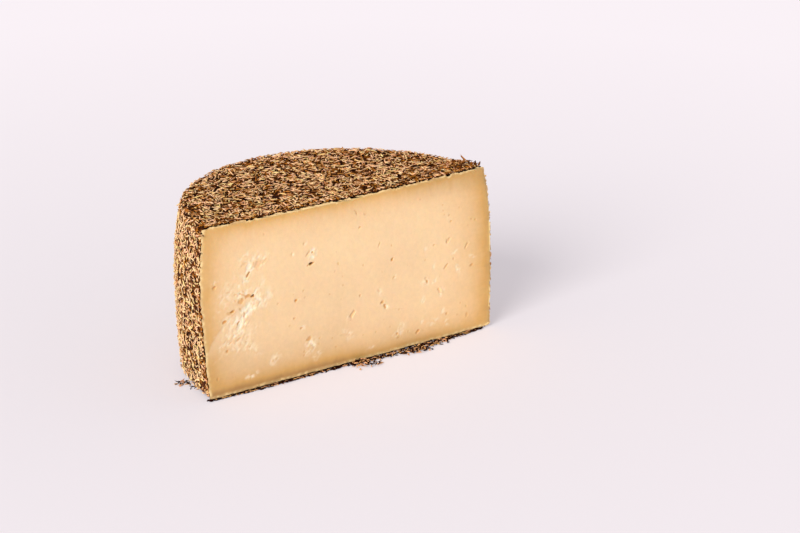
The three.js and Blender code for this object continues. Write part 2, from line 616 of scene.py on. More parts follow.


# ---------------------------------------------------------------------------------------------
# The cheese
#
# Places on the cut face are millimetres from the middle of the cut's lower edge: to the right,
# and up from the underside of the cheese.

# Each eye: right, up, half length, half width, slant in degrees, depth, and how brown it is, which
# also sets its painted shade.
EYES = (
    (-28.2, 65.7, 1.9, 0.65, 12, 1.9, 1.0),
    (-67.7, 55.1, 1.3, 0.6, 20, 1.5, 0.92),
    (-70.8, 55.6, 2.3, 0.9, 12, 0.5, 0.42),
    (-75.5, 53.6, 2.2, 1.3, 35, 0.35, 0.34),
    (-81.2, 48.6, 1.2, 0.9, 30, 1.0, 0.62),
    (-83.2, 48.2, 2.0, 1.2, 0, 0.2, 0.22),
    (-86.4, 43.7, 1.3, 0.8, 30, 0.9, 0.5),
    (-92.2, 65.4, 1.4, 0.8, 30, 1.1, 0.3),
    (-70.4, 68.2, 2.3, 0.55, 58, 1.2, 0.4),
    (-63.7, 73.1, 3.3, 2.7, 20, 0.5, 0.10),
    (-73.1, 74.7, 2.8, 0.9, 20, 0.4, 0.08),
    (-59.0, 74.2, 2.2, 0.7, 45, 0.4, 0.10),
    (-75.2, 57.8, 2.2, 0.5, -28, 0.6, 0.25),
    (-79.0, 58.2, 1.0, 0.4, 10, 0.5, 0.2),
    (-83.7, 60.5, 1.6, 0.5, 0, 0.3, 0.08),
    (-76.0, 49.0, 1.2, 0.5, -40, 0.8, 0.28),
    (-73.2, 45.0, 2.2, 0.45, 86, 0.8, 0.26),
    (-77.4, 40.7, 1.4, 0.45, 50, 0.8, 0.32),
    (-77.0, 31.6, 1.6, 0.7, 30, 0.4, 0.16),
    (-72.5, 28.8, 0.8, 0.6, 20, 0.7, 0.2),
    (-84.8, 25.9, 0.9, 0.8, 0, 0.9, 0.4),
    (-82.3, 30.6, 1.5, 0.4, 30, 0.4, 0.10),
    (-91.5, 10.5, 0.8, 0.6, 60, 0.7, 0.25),
    (-33.0, 78.7, 0.8, 0.5, 60, 0.8, 0.28),
    (-41.2, 74.3, 1.4, 0.4, 80, 0.5, 0.14),
    (-30.2, 72.3, 2.0, 0.6, 45, 0.6, 0.20),
    (-27.2, 72.3, 0.6, 0.55, 0, 1.0, 0.55),
    (5.6, 80.8, 0.7, 0.6, 0, 0.7, 0.30),
    (3.0, 89.9, 1.8, 0.45, -60, 0.8, 0.26),
    (19.2, 67.4, 2.0, 0.45, 70, 0.7, 0.24),
    (28.5, 56.5, 0.85, 0.8, 0, 1.0, 0.6),
    (29.6, 45.0, 1.2, 0.5, 40, 0.6, 0.2),
    (19.1, 39.3, 1.6, 0.8, -40, 0.3, 0.06),
    (5.8, 39.2, 0.7, 0.6, 0, 0.8, 0.34),
    (21.4, 31.4, 1.5, 1.0, 10, 1.2, 0.42),
    (23.8, 28.4, 1.7, 0.7, -62, 1.2, 0.36),
    (32.5, 25.3, 4.8, 0.35, -8, 0.25, 0.08),
    (0.3, 28.6, 2.6, 1.15, 52, 1.2, 0.20),
    (-38.4, 45.9, 0.95, 0.7, 20, 1.0, 0.5),
    (-50.5, 46.8, 0.6, 0.5, 0, 0.6, 0.2),
    (-32.3, 46.7, 0.8, 0.4, 60, 0.4, 0.08),
    (-39.7, 35.4, 0.7, 0.55, 0, 0.8, 0.3),
    (-43.0, 31.6, 0.9, 0.55, 0, 0.4, 0.14),
    (-35.2, 28.5, 1.0, 0.6, 0, 0.7, 0.3),
    (-30.0, 20.7, 2.2, 1.2, 10, 0.6, 0.34),
    (-33.1, 13.9, 0.9, 0.45, 60, 0.5, 0.2),
    (-22.3, 19.7, 1.3, 0.4, 40, 0.5, 0.16),
    (-5.8, 17.8, 2.6, 0.7, -10, 0.4, 0.06),
    (17.3, 14.2, 0.8, 0.55, 0, 0.5, 0.16),
    (32.5, 9.6, 0.8, 0.65, 0, 0.8, 0.3),
    (33.4, 6.9, 1.0, 0.5, 0, 0.5, 0.2),
    (69.3, 75.4, 0.8, 0.5, 20, 0.7, 0.32),
    (70.7, 71.5, 1.0, 0.6, 0, 0.7, 0.3),
    (66.0, 76.5, 0.6, 0.5, 0, 0.5, 0.2),
    (86.0, 70.0, 0.6, 0.5, 0, 0.5, 0.2),
)

# Each torn patch: right, up, half length, half width, slant in degrees, and strength.
TEARS = (
    (-69.5, 70.5, 7.5, 3.0, 55, 0.8),
    (-65.5, 75.5, 7.0, 4.5, 15, 0.45),
    (-74.0, 79.0, 5.0, 1.2, 20, 0.4),
    (-75.0, 57.0, 6.5, 3.0, 15, 0.75),
    (-69.0, 49.5, 9.0, 4.5, 50, 1.0),
    (-75.5, 41.5, 8.0, 5.0, 50, 0.8),
    (-84.5, 45.0, 3.5, 2.0, 30, 0.4),
    (-73.5, 31.0, 9.0, 5.5, 30, 0.42),
    (-69.0, 24.0, 6.0, 3.0, -30, 0.5),
    (-64.0, 58.0, 7.0, 2.5, 60, 0.35),
    (-91.8, 68.2, 2.4, 1.2, 20, 0.6),
    (-85.0, 59.0, 9.0, 5.5, 60, 0.34),
    (-84.5, 34.0, 10.0, 6.0, 62, 0.36),
    (-60.0, 53.0, 6.5, 4.5, 40, 0.42),
    (-27.5, 70.5, 5.0, 2.6, 58, 0.8),
    (-40.2, 74.4, 1.9, 0.8, 80, 0.5),
    (-31.6, 79.2, 1.6, 0.7, 60, 0.4),
    (-29.0, 15.5, 5.5, 3.2, 75, 0.7),
    (-24.5, 9.5, 3.5, 2.5, 30, 0.5),
    (-33.6, 28.6, 2.4, 1.6, 20, 0.5),
    (-36.6, 46.0, 1.8, 0.9, 0, 0.4),
    (-54.0, 13.5, 4.0, 2.6, 40, 0.5),
    (-68.5, 7.5, 4.0, 1.6, 10, 0.5),
    (-3.0, 17.0, 4.5, 2.2, -20, 0.5),
    (-2.6, 27.0, 2.2, 0.9, 55, 0.6),
    (19.5, 39.0, 3.0, 2.0, -30, 0.35),
    (25.2, 28.3, 2.4, 1.1, -55, 0.6),
    (30.8, 45.2, 1.6, 1.1, 40, 0.45),
    (19.9, 66.8, 1.8, 0.6, 70, 0.4),
    (34.5, 11.5, 4.5, 2.6, 35, 0.55),
    (14.0, 5.5, 3.0, 1.2, 10, 0.3),
    (68.5, 73.0, 3.0, 1.2, -60, 0.3),
)

EYE_COUNTS = (40, 15)           # of the tiny eyes strewn everywhere, and of the larger ones
SMALL_TEAR_COUNT = 14
EYE_DEPTH = 0.5                 # share of an eye's depth that the surface shows

# The crumbs in a torn patch lie in streaks.
STREAK_SLANT = 48.0
STREAK_LENGTH = 1.5
CRUMB_SIZE = 1.3
CRUMB_HEIGHT = 0.65

# The knife stopped once and went on: a faint step on a circle round this place, paler inside.
KNIFE_STEP_MIDDLE = (-59.0, 9.0)
KNIFE_STEP_RADIUS = 43.2
KNIFE_STEP_HEIGHT = 0.15
KNIFE_STEP_LIGHTER = 0.22

# The outline of the cut, in metres: how round its corners are, how far it wavers and how far it
# stands past the wheel's own surface, how far its lower edge hangs down, and how long the broad
# and the fine waves are.
FACE_EDGE_ROUND = 0.0016
EDGE_WAVER = 0.0011
EDGE_SWELL = 0.0009
FOOT_DROP = 0.0004
BROAD_WAVES = 0.006
FINE_WAVES = 0.0017

# Under the rind the cheese is ripened: how far in each side starts to fade, how slowly it fades,
# and how strong it is. The sides are left, right, lower and upper. The lower side is the strongest
# because painted shade near the floor is added to its ripening; past 1 the ripest colour shows.
RIPENING_AND_FOOT_SHADE = (
    (0.0050, 0.0085, 0.84),
    (0.0035, 0.0120, 1.1),
    (0.0028, 0.0070, 1.45),
    (0.0024, 0.0058, 1.0),
)

# Outside the ripened cheese lies a pale rim, as wide as this on those sides, in metres. It is
# broken up by flecks of this size in millimetres.
RIM_WIDTHS = (0.0016, 0.0004, 0.0016, 0.0011)
RIM_FLECK_SIZE = 1.8

# The lower side's ripening and painted shade fade between these places along X, in metres, to
# this share.
FOOT_FADE = (-0.010, 0.012, 0.62)

# Rows up the side, rows over each end and columns round the back of the cheese.
BACK_GRID = (41, 10, 121)


def inside_spot(right, up, spot):
    """How far out each place lies from a slanted oval: 0 in its middle and 1 on its edge."""
    turn = math.radians(spot[4])
    along = (right - spot[0]) * math.cos(turn) + (up - spot[1]) * math.sin(turn)
    across = (up - spot[1]) * math.cos(turn) - (right - spot[0]) * math.sin(turn)
    return np.hypot(along / spot[2], across / spot[3])


def on_noise(right, up):
    """Where places on the cut lie on the noise."""
    return np.stack([right, up], -1) + 300


def strewn(rng, count, right, up, numbers):
    """Rows of a random place within two ranges and some random numbers from 0 to 1."""
    places = rng.uniform(*right, count), rng.uniform(*up, count)
    return zip(*places, *rng.random((numbers, count)))


def small_eyes(seed):
    """Tiny eyes strewn over the cut, and larger ones on its right half."""
    rng = np.random.default_rng(seed)
    tiny_count, larger_count = EYE_COUNTS
    tiny = [
        (x, z, 0.5 + 0.4 * a, 0.45 + 0.1 * b, 180 * c, 0.2 + 0.3 * d, 0.05 + 0.2 * e)
        for x, z, a, b, c, d, e in strewn(rng, tiny_count, (-90, 92), (6, 94), 5)
    ]
    larger = [
        (x, z, 0.7 + 1.5 * a * a, 0.6 + 0.3 * b, 180 * c, 0.5 + 0.6 * d, 0.1 + 0.4 * e * e)
        for x, z, a, b, c, d, e in strewn(rng, larger_count, (46, 90), (6, 72), 5)
    ]
    return tiny + larger


def small_tears(seed):
    """Small torn patches on the right half of the cut."""
    rng = np.random.default_rng(seed)
    return [
        (x, z, 1.5 + 3 * a, 0.9 + 1.2 * b, 180 * c, 0.3 + 0.5 * d)
        for x, z, a, b, c, d in strewn(rng, SMALL_TEAR_COUNT, (48, 88), (8, 70), 4)
    ]


def knife_step(right, up, seed):
    """Height of the step that the knife left, from half up to half down across a wavering circle,
    and how much lighter the cheese is within it. Only a stretch on the left shows it."""
    away = np.hypot(right - KNIFE_STEP_MIDDLE[0], up - KNIFE_STEP_MIDDLE[1])
    away = away + 0.9 * layered(on_noise(right, up), 7, seed)
    shown = smooth_step(-66, -74, right) * smooth_step(20, 30, up)
    outside = smooth_step(-0.7, 0.7, away - KNIFE_STEP_RADIUS)
    nearing = smooth_step(KNIFE_STEP_RADIUS - 17, KNIFE_STEP_RADIUS, away)
    lighter = KNIFE_STEP_LIGHTER * nearing * (1 - outside)
    return KNIFE_STEP_HEIGHT * shown * (0.5 - outside), shown * lighter


def face_relief(right, up, seed):
    """Depth of the cut face in millimetres at each place, how brown its eyes are with painted shade
    that deepens down each bowl, and how torn.
    An eye is a bowl whose depth falls as 1 minus the square of the way out, with a low raised
    rim. A torn patch is layered noise inside a soft oval. The whole face waves a little."""
    places = on_noise(right, up)
    ragged = 1 + 0.60 * layered(places, 1.1, seed + 1, 2)
    depth = 0.22 * layered(places, 38, seed + 2) + 0.05 * layered(places, 5, seed + 3)
    eye_tint_and_shade, torn = np.zeros_like(right), np.zeros_like(right)
    for spot in (*TEARS, *small_tears(seed + 9)):
        out = inside_spot(right, up, spot) * (1 + 0.6 * layered(places, 3.0, seed + 4))
        torn = 1 - (1 - torn) * (1 - 0.8 * spot[5] * smooth_step(1.5, 0.25, out))
    turn = math.radians(STREAK_SLANT)
    along = right * math.cos(turn) + up * math.sin(turn)
    across = up * math.cos(turn) - right * math.sin(turn)
    crumbs = layered(on_noise(along / STREAK_LENGTH, across), CRUMB_SIZE, seed + 5, 3)
    depth += torn * (CRUMB_HEIGHT * crumbs + 0.08)
    torn = np.clip(torn * (0.72 + 2.2 * crumbs), 0, 1)
    for spot in (*EYES, *small_eyes(seed + 8)):
        out = inside_spot(right, up, spot) * ragged
        bowl = np.clip(1.25 - out ** 2, 0, 1)
        depth += EYE_DEPTH * spot[5] * bowl
        depth -= 0.05 * np.exp(-(((out - 1.45) / 0.3) ** 2))
        # Painted shade: the tint grows towards the bottom of the bowl.
        eye_tint_and_shade = np.maximum(eye_tint_and_shade, spot[6] * smooth_step(0.1, 0.9, bowl))
        torn *= 1 - smooth_step(0.1, 0.6, bowl)
    step, lighter = knife_step(right, up, seed + 6)
    return depth + step, eye_tint_and_shade, np.maximum(torn, lighter)


def face_grid(wheel, step):
    """The cut face as rows from its lower to its upper edge. Each row runs from one side of the
    outline to the other at its level, so the outline's rounded corners are the rows' ends. A high
    power of the way out wavers and swells only the points close to an edge."""
    radius, level = side_curve(wheel, 0.0, FACE_EDGE_ROUND)
    rows = round(wheel.height / step) + 1
    columns = round(2 * wheel.radius / step) + 1
    up = np.linspace(level[0], level[-1], rows)
    across = np.linspace(-1, 1, columns)
    centre_x, centre_y = centre_at(wheel, up)
    cut_y = cut_middle(wheel)[1]
    half = np.sqrt(np.interp(up, level, radius) ** 2 - (cut_y - centre_y) ** 2)
    x = centre_x[:, None] + half[:, None] * across
    share = ((up - level[0]) / wheel.height)[:, None]
    z = up[:, None] - wheel.top_dish * (1 - across ** 2) * share
    beside = np.stack([z, 0 * x], -1) + across.round()[None, :, None]
    along = np.stack([x + 1, 0 * x + share.round()], -1)
    waver_x, waver_z = (
        EDGE_WAVER * (0.6 * layered(places, BROAD_WAVES, seed) + layered(places, FINE_WAVES, seed + 1))
        for places, seed in ((beside, 71), (along, 81))
    )
    x = x + (waver_x + EDGE_SWELL * np.sign(across)) * np.abs(across) ** 30
    z = z + (waver_z + EDGE_SWELL) * share ** 20 + (0.3 * waver_z - FOOT_DROP) * (1 - share) ** 20
    return np.stack([x, np.full_like(x, cut_y), z], -1)


def ripening_and_foot_shade(grid, middle_x):
    """How ripened each place on the face is, with painted shade added along the lower side, and how
    much of the pale rim it shows. From each side the ripening stays full for a little way and then
    falls as exp(-way / fade). The lower side's is weaker to the right of the middle."""
    x, z = grid[..., 0], grid[..., 2]
    ways = (x - x[:, :1], x[:, -1:] - x, z - z[:1], z[-1:] - z)
    left_over, beyond, rim = np.ones_like(x), np.zeros_like(x), np.zeros_like(x)
    start, end, low = FOOT_FADE
    lower = 1 - (1 - low) * smooth_step(start, end, x - middle_x)
    scales = (1, 1, lower, 1)
    for way, scale, (full, fade, strength), width in zip(ways, scales, RIPENING_AND_FOOT_SHADE, RIM_WIDTHS):
        share = scale * strength * np.exp(-np.maximum(way - full, 0) / fade)
        left_over = left_over * (1 - np.clip(share, 0, 1))
        beyond = beyond + np.maximum(share - 1, 0)
        rim = np.maximum(rim, smooth_step(1.3 * width, 0.5 * width, way))
    return 1 - left_over + beyond, rim, np.minimum.reduce(ways)


def painted_shade_amount(right, up, ripened_and_foot_shade):
    """How strongly painted shade darkens the paste: low down towards the left, most at the lower
    left, near the edges on the right half, and most of all under the upper edge on the right."""
    low = 0.28 * smooth_step(75, 42, up) * smooth_step(65, 25, right)
    low_left = 0.35 * smooth_step(42, 12, up) * smooth_step(15, -30, right)
    under_edge = 0.3 * smooth_step(0, 60, right) * ripened_and_foot_shade.clip(0, 1)
    upper_right = 0.5 * smooth_step(25, 65, right) * smooth_step(84, 94, up)
    return low + low_left + under_edge + upper_right


def sharpen_rim(mesh, cut_y):
    """Marks the edges that lie exactly in the plane of the cut, so that the face and the skin
    behind it are shaded apart."""
    place = np.empty(3 * len(mesh.vertices), np.float32)
    mesh.vertices.foreach_get("co", place)
    ends = np.empty(2 * len(mesh.edges), np.int32)
    mesh.edges.foreach_get("vertices", ends)
    in_plane = np.abs(place.reshape(-1, 3)[:, 1] - cut_y) < SAME_PLACE
    sharp = in_plane[ends.reshape(-1, 2)].all(1)
    mesh.attributes.new("sharp_edge", "BOOLEAN", "EDGE").data.foreach_set("value", sharp)


def make_cheese(wheel, paste):
    """The cheese: a fine grid for the cut face, a coarse shell round the back, and a strip of
    triangles that joins their edges."""
    face, shell = face_grid(wheel, paste.step), sunk_grid(wheel, *BACK_GRID)
    rows, columns = face.shape[:2]
    middle_x, cut_y = cut_middle(wheel)
    right, up = (face[..., 0] - middle_x) / MM, (face[..., 2] - wheel.foot_gap) / MM
    depth, eye_tint_and_shade, torn = face_relief(right, up, paste.seed)
    ripened_and_foot_shade, rim, from_edge = ripening_and_foot_shade(face, middle_x)
    face[..., 1] += depth * smooth_step(0.0, 0.002, from_edge) * MM
    flecks = layered(on_noise(right, up), RIM_FLECK_SIZE, paste.seed + 7, 2)
    rim = rim * (0.35 + 0.65 * smooth_step(-0.15, 0.35, flecks))
    points = np.concatenate([face.reshape(-1, 3), shell.reshape(-1, 3)])
    index = np.arange(rows * columns).reshape(rows, columns)
    face_edge = np.concatenate([index[0], index[1:, -1], index[-1, :-1], index[1:-1, 0]])
    first = rows * columns
    behind = shell.shape[0] * shell.shape[1]
    shell_index = first + np.arange(behind).reshape(shell.shape[:2])
    shell_edge = np.concatenate([shell_index[:, 0], shell_index[1:-1, -1]])
    faces = [
        grid_faces(rows, columns),
        grid_faces(*shell.shape[:2], first=first),
        stitch(points, face_edge, shell_edge, points[face_edge].mean(0)),
    ]
    mesh = new_mesh("cheese_body", points, faces)
    for name, values, on_shell in (
        ("ripened_and_foot_shade", ripened_and_foot_shade, 1.0),
        ("rim", rim, 1.0),
        ("eye_tint_and_shade", eye_tint_and_shade, 0.0),
        ("torn", torn, 0.0),
        ("painted_shade", painted_shade_amount(right, up, ripened_and_foot_shade), 0.0),
    ):
        set_value(mesh, name, np.concatenate([values.ravel(), np.full(behind, on_shell)]))
    close_seams(mesh)
    sharpen_rim(mesh, cut_y)
    piece = add_piece("cheese_body", mesh, paste_material())
    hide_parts(FACE_NODE)


# ---------------------------------------------------------------------------------------------
# The herb coat

# The bed: rows up the side, rows over each end and columns round the back, and in metres how far
# behind the cut it ends, how thick it is at least and how much more the noise adds, how far its
# inner side lies over the cheese, and how far it stays above the ground.
BED_GRID = (91, 61, 221)
BED_SET_BACK = 0.0003
BED_LEAST = 0.0002
BED_MORE = 0.0003
BED_INSIDE = 0.00006
BED_ABOVE_GROUND = 0.0002


def make_bed(wheel, herbs):
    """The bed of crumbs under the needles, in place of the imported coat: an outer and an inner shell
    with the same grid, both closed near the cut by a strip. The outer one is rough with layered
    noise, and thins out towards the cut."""
    surface = sunk_grid(wheel, *BED_GRID)
    out = (shell_grid(wheel, MM, *BED_GRID) - shell_grid(wheel, 0.0, *BED_GRID)) / MM
    rows, columns = surface.shape[:2]
    places = np.stack(np.mgrid[:rows, :columns], -1) + 300.0
    rough = layered(places, 4.0, herbs.seed + 40)
    way = np.linspace(0, 1, columns)
    thick = BED_LEAST + BED_MORE * (1 + rough) * smooth_step(0, 0.03, np.minimum(way, 1 - way))
    inner, outer = surface + BED_INSIDE * out, surface + thick[..., None] * out
    outer[..., 2] = np.maximum(outer[..., 2], BED_ABOVE_GROUND)
    points = np.concatenate([outer.reshape(-1, 3), inner.reshape(-1, 3)])
    points[:, 1] = np.maximum(points[:, 1], cut_middle(wheel)[1] + BED_SET_BACK)
    count = rows * columns
    index = np.arange(count).reshape(rows, columns)
    strips = [
        np.stack([edge[:-1], edge[1:], edge[1:] + count, edge[:-1] + count], -1)
        for edge in (index[::-1, 0], index[:, -1])
    ]
    faces = [
        grid_faces(rows, columns),
        grid_faces(rows, columns, first=count, flip=True),
        *strips,
    ]
    mesh = new_mesh("herb_bed", points, faces)
    # Painted shade: the bed is very dark, standing in for the shade in the gaps between the needles.
    tone = 0.02 + 0.16 * smooth_step(-0.2, 0.6, layered(places, 3.0, herbs.seed + 50, 3)).ravel()
    set_value(mesh, "tone", np.concatenate([tone, tone]))
    set_value(mesh, "kind", np.full(2 * count, 0.5))
    close_seams(mesh)
    piece = add_piece("herb_bed", mesh, leaf_material("leaf_bed", BED_GRAIN))
    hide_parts(COAT_NODE)


# A needle has rings of these points. The first and the last ring lie this share of the way in
# from a tip or from a cut end, and are drawn in to this size there.
RING_POINTS = np.array([(-1.0, 0.0), (0.12, 0.48), (1.0, 0.0), (0.0, -0.46)])
RINGS = 3
TIP_RING = 0.16
TIP_SIZE = 0.62
CUT_RING = 0.02
CUT_SIZE = 0.9

# A needle's cell on its map keeps this share of its side free all round.
MAP_MARGIN = 0.12

# In metres: the lowest that a needle's points may lie.
NEEDLE_ABOVE_GROUND = 0.00005


def needle_points(spots):
    """Points of many needles at once. Each needle is a rolled leaf: a ring of four points,
    broad with a ridge along its upper side, is carried along a slightly bent line from start to
    end, drawn in near both ends, and closed by a point at each tip. A cut end stays
    broad right up to the cut."""
    start, end, up = spots["start"], spots["end"], spots["up"]
    count = len(start)
    axis = end - start
    length = np.linalg.norm(axis, axis=1, keepdims=True)
    ahead = axis / length
    aside = np.cross(up, ahead)
    aside /= np.linalg.norm(aside, axis=1, keepdims=True)
    up = np.cross(ahead, aside)
    cut = np.stack([spots["cut_start"], spots["cut_end"]])
    first, last = np.where(cut, CUT_RING, TIP_RING)
    size_first, size_last = np.where(cut, CUT_SIZE, TIP_SIZE)
    one = np.ones(count)
    t = np.stack([0 * one, first, 0.5 * one, 1 - last, one], -1)
    size = np.stack([size_first, one, size_last], -1)
    bend = (4 * t * (1 - t))[..., None]
    line = (
        start[:, None]
        + axis[:, None] * t[..., None]
        + aside[:, None] * bend * (spots["bend"][:, None, None] * length[:, None])
        + up[:, None] * bend * (spots["arch"][:, None, None] * length[:, None])
    )
    turn = spots["twist"][:, None] * (t[:, 1:4] - 0.5)
    cosine, sine = np.cos(turn)[..., None], np.sin(turn)[..., None]
    ring_x = RING_POINTS[:, 0] * cosine - RING_POINTS[:, 1] * sine
    ring_y = RING_POINTS[:, 0] * sine + RING_POINTS[:, 1] * cosine
    half = (spots["width"] / 2)[:, None, None] * size[..., None]
    rings = (
        line[:, 1:4, None]
        + aside[:, None, None] * (ring_x * half)[..., None]
        + up[:, None, None] * (ring_y * half * spots["fullness"][:, None, None])[..., None]
    )
    tips = line[:, [0, 4]]
    return np.concatenate([tips[:, :1], rings.reshape(count, -1, 3), tips[:, 1:]], 1)


def corner_places(*corners):
    """For a row of faces: the place of each corner on the needle, given once for each corner as
    a place along the needle and the row's places around it."""
    return np.stack([np.stack([along + 0 * around, around], -1) for along, around in corners], 1)


def needle_faces(count):
    """Triangles at the tips and quads between rings, and for each face corner its place on the
    needle: along it and around it, from 0 to 1."""
    points = len(RING_POINTS)
    around = np.arange(points)
    after = (around + 1) % points
    here, next_one = around / points, (around + 1) / points
    ring_places = np.linspace(TIP_RING, 1 - TIP_RING, RINGS)
    starts = 1 + points * np.arange(RINGS + 1)
    near, far = ring_places[0], ring_places[-1]
    triangles = [
        np.stack([0 * around, 1 + after, 1 + around], -1),
        np.stack([0 * around + starts[-1], starts[-2] + around, starts[-2] + after], -1),
    ]
    triangle_map = [
        corner_places((0, here), (near, next_one), (near, here)),
        corner_places((1, here), (far, here), (far, next_one)),
    ]
    quads, quad_map = [], []
    for ring in range(RINGS - 1):
        low, high = starts[ring], starts[ring + 1]
        quads.append(np.stack([low + around, low + after, high + after, high + around], -1))
        low, high = ring_places[ring], ring_places[ring + 1]
        quad_map.append(corner_places((low, here), (low, next_one), (high, next_one), (high, here)))
    offset = (np.arange(count) * (starts[-1] + 1))[:, None, None]
    faces = [
        (offset + np.concatenate(part)).reshape(-1, part[0].shape[1]) for part in (triangles, quads)
    ]
    return faces, [np.concatenate(part).reshape(-1, 2) for part in (triangle_map, quad_map)]


def add_needle_map(mesh, count, maps):
    """A UV map with one small cell for each needle, so that a baked picture keeps every needle
    in a patch of its own."""
    columns = math.ceil(math.sqrt(count))
    cell = np.stack([np.arange(count) % columns, np.arange(count) // columns], -1)
    parts = [
        (cell[:, None] + MAP_MARGIN + (1 - 2 * MAP_MARGIN) * part[None]).reshape(-1, 2) / columns
        for part in maps
    ]
    layer = mesh.uv_layers.new(name="OFBake")
    layer.data.foreach_set("uv", np.concatenate(parts).astype(np.float32).ravel())


def make_needles(name, spots):
    """One piece with every needle that the spots describe."""
    points = needle_points(spots)
    points[..., 2] = np.maximum(points[..., 2], NEEDLE_ABOVE_GROUND)
    faces, maps = needle_faces(len(points))
    mesh = new_mesh(name, points.reshape(-1, 3), faces)
    add_needle_map(mesh, len(points), maps)
    for value in ("tone", "kind"):
        set_value(mesh, value, np.repeat(spots[value], points.shape[1]))
    add_piece(name, mesh, leaf_material("leaf_needles", NEEDLE_GRAIN))


# In metres: how far places reach in front of the cut, where their needles are cut off, and past
# the flat top as a share of the edge's rounding.
IN_FRONT = 0.003
PAST_TOP = 0.6

# The edge of the top and of the side is felt this far in, in metres.
TOP_EDGE = 0.0035
SIDE_EDGE = 0.003


def places_at(place, out, around, across, noise, edge=0.0, layer=1.0, size=1.0, lift=0.0):
    """A set of places for needles: the surface's outward direction and two directions in the
    surface, the place on the noise that heaps them, how far the surface bends over there, how
    thick the layer is, how long the needles are, and how far they lie higher at the cut."""
    count = len(place)
    directions = {"out": out, "around": around, "across": across}
    numbers = {"edge": edge, "layer": layer, "size": size, "lift": lift}
    return {
        "place": place,
        "noise": noise,
        **{key: np.broadcast_to(value, (count, 3)) for key, value in directions.items()},
        **{key: np.broadcast_to(value, count) for key, value in numbers.items()},
    }


def level_places(place, shift, edge, layer):
    """Places over level ground."""
    ways = (0.0, 0.0, 1.0), (1.0, 0.0, 0.0), (0.0, 1.0, 0.0)
    return places_at(place, *ways, place[:, :2] + shift, edge=edge, layer=layer)


def count_on(density, area):
    """How many needles that density gives on an area in square metres."""
    return round(density * 1e4 * area)


def flat_spots(wheel, rng, density, upward):
    """Evenly strewn places on the top or the underside. They reach a little past the cut, where
    needles are cut off."""
    radius, level = side_curve(wheel, 0.0)
    row, sign, dish = (-1, 1.0, wheel.top_dish) if upward else (0, -1.0, 0.0)
    reach = radius[row] + PAST_TOP * wheel.edge_round
    centre_x, centre_y = centre_at(wheel, level[row])
    count = count_on(density, (2 * reach) * (reach + 2 * IN_FRONT))
    x = centre_x + rng.uniform(-reach, reach, count)
    y = rng.uniform(cut_middle(wheel)[1] - IN_FRONT, centre_y + reach, count)
    out = np.hypot(x - centre_x, y - centre_y) / reach
    keep = out < 1
    x, y, out = x[keep], y[keep], out[keep]
    z = level[row] - dish * (1 - out ** 2)
    edge = np.exp(-(((1 - out) * reach / TOP_EDGE) ** 2))
    zeros = np.zeros_like(x)
    radial = np.stack([(x - centre_x), (y - centre_y), zeros], -1)
    radial /= np.linalg.norm(radial, axis=1, keepdims=True) + 1e-9
    return places_at(
        np.stack([x, y, z], -1),
        out=(0.0, 0.0, sign),
        around=np.stack([-radial[:, 1], radial[:, 0], zeros], -1),
        across=radial,
        noise=np.stack([x + 1, y + 1], -1),
        edge=edge,
        layer=1 - 0.45 * edge,
        lift=0.0005,
    )


def side_spots(wheel, rng, density):
    """Evenly strewn places round the side, from the lower to the upper edge."""
    radius, level = side_curve(wheel, 0.0)
    bottom, top = level[0], level[-1]
    count = count_on(density, 2 * math.pi * wheel.radius * (top - bottom))
    angle = rng.uniform(-0.5 * math.pi, 1.5 * math.pi, count)
    step = 0.0004
    z = rng.uniform(bottom + step, top - step, count)
    r = np.interp(z, level, radius)
    centre_x, centre_y = centre_at(wheel, z)
    x, y = centre_x + r * np.cos(angle), centre_y + r * np.sin(angle)
    keep = y > cut_middle(wheel)[1] - IN_FRONT
    x, y, z, angle = x[keep], y[keep], z[keep], angle[keep]
    slope = (np.interp(z + step, level, radius) - np.interp(z - step, level, radius)) / (2 * step)
    across = np.stack(
        [
            slope * np.cos(angle) + wheel.lean_sideways / wheel.height,
            slope * np.sin(angle) + wheel.lean_forward / wheel.height,
            np.ones_like(x),
        ],
        -1,
    )
    across /= np.linalg.norm(across, axis=1, keepdims=True)
    around = np.stack([-np.sin(angle), np.cos(angle), np.zeros_like(x)], -1)
    return places_at(
        np.stack([x, y, z], -1),
        out=np.cross(around, across),
        around=around,
        across=across,
        noise=np.stack([wheel.radius * angle + 2, z + 2], -1),
        edge=np.exp(-(((top - z) / SIDE_EDGE) ** 2)) + np.exp(-(((z - bottom) / SIDE_EDGE) ** 2)),
        layer=0.72,
        # A size below 1 also paints these needles paler, as painted light on the side.
        size=0.82,
        lift=0.0004,
    )


def shoulder_spots(wheel, rng, density):
    """Places along the rounded upper edge, spread over the rounding from the top to the side."""
    radius, level = side_curve(wheel, 0.0)
    rounding = wheel.edge_round
    count = count_on(density, math.pi * wheel.radius * 1.7 * rounding)
    angle = rng.uniform(-0.03 * math.pi, 1.03 * math.pi, count)
    slant = rng.uniform(0, math.pi / 2, count)
    z = level[-1] - rounding + rounding * np.sin(slant)
    r = radius[-1] + rounding * np.cos(slant)
    centre_x, centre_y = centre_at(wheel, z)
    x, y = centre_x + r * np.cos(angle), centre_y + r * np.sin(angle)
    keep = y > cut_middle(wheel)[1] - IN_FRONT
    x, y, z, angle, slant = x[keep], y[keep], z[keep], angle[keep], slant[keep]
    cosine, sine = np.cos(slant), np.sin(slant)
    out = np.stack([cosine * np.cos(angle), cosine * np.sin(angle), sine], -1)
    around = np.stack([-np.sin(angle), np.cos(angle), np.zeros_like(x)], -1)
    return places_at(
        np.stack([x, y, z], -1),
        out=out,
        around=around,
        across=np.cross(out, around),
        noise=np.stack([wheel.radius * angle + 2, z + 2], -1),
        edge=0.85,
        layer=0.8,
        size=0.97,
        lift=0.0004,
    )


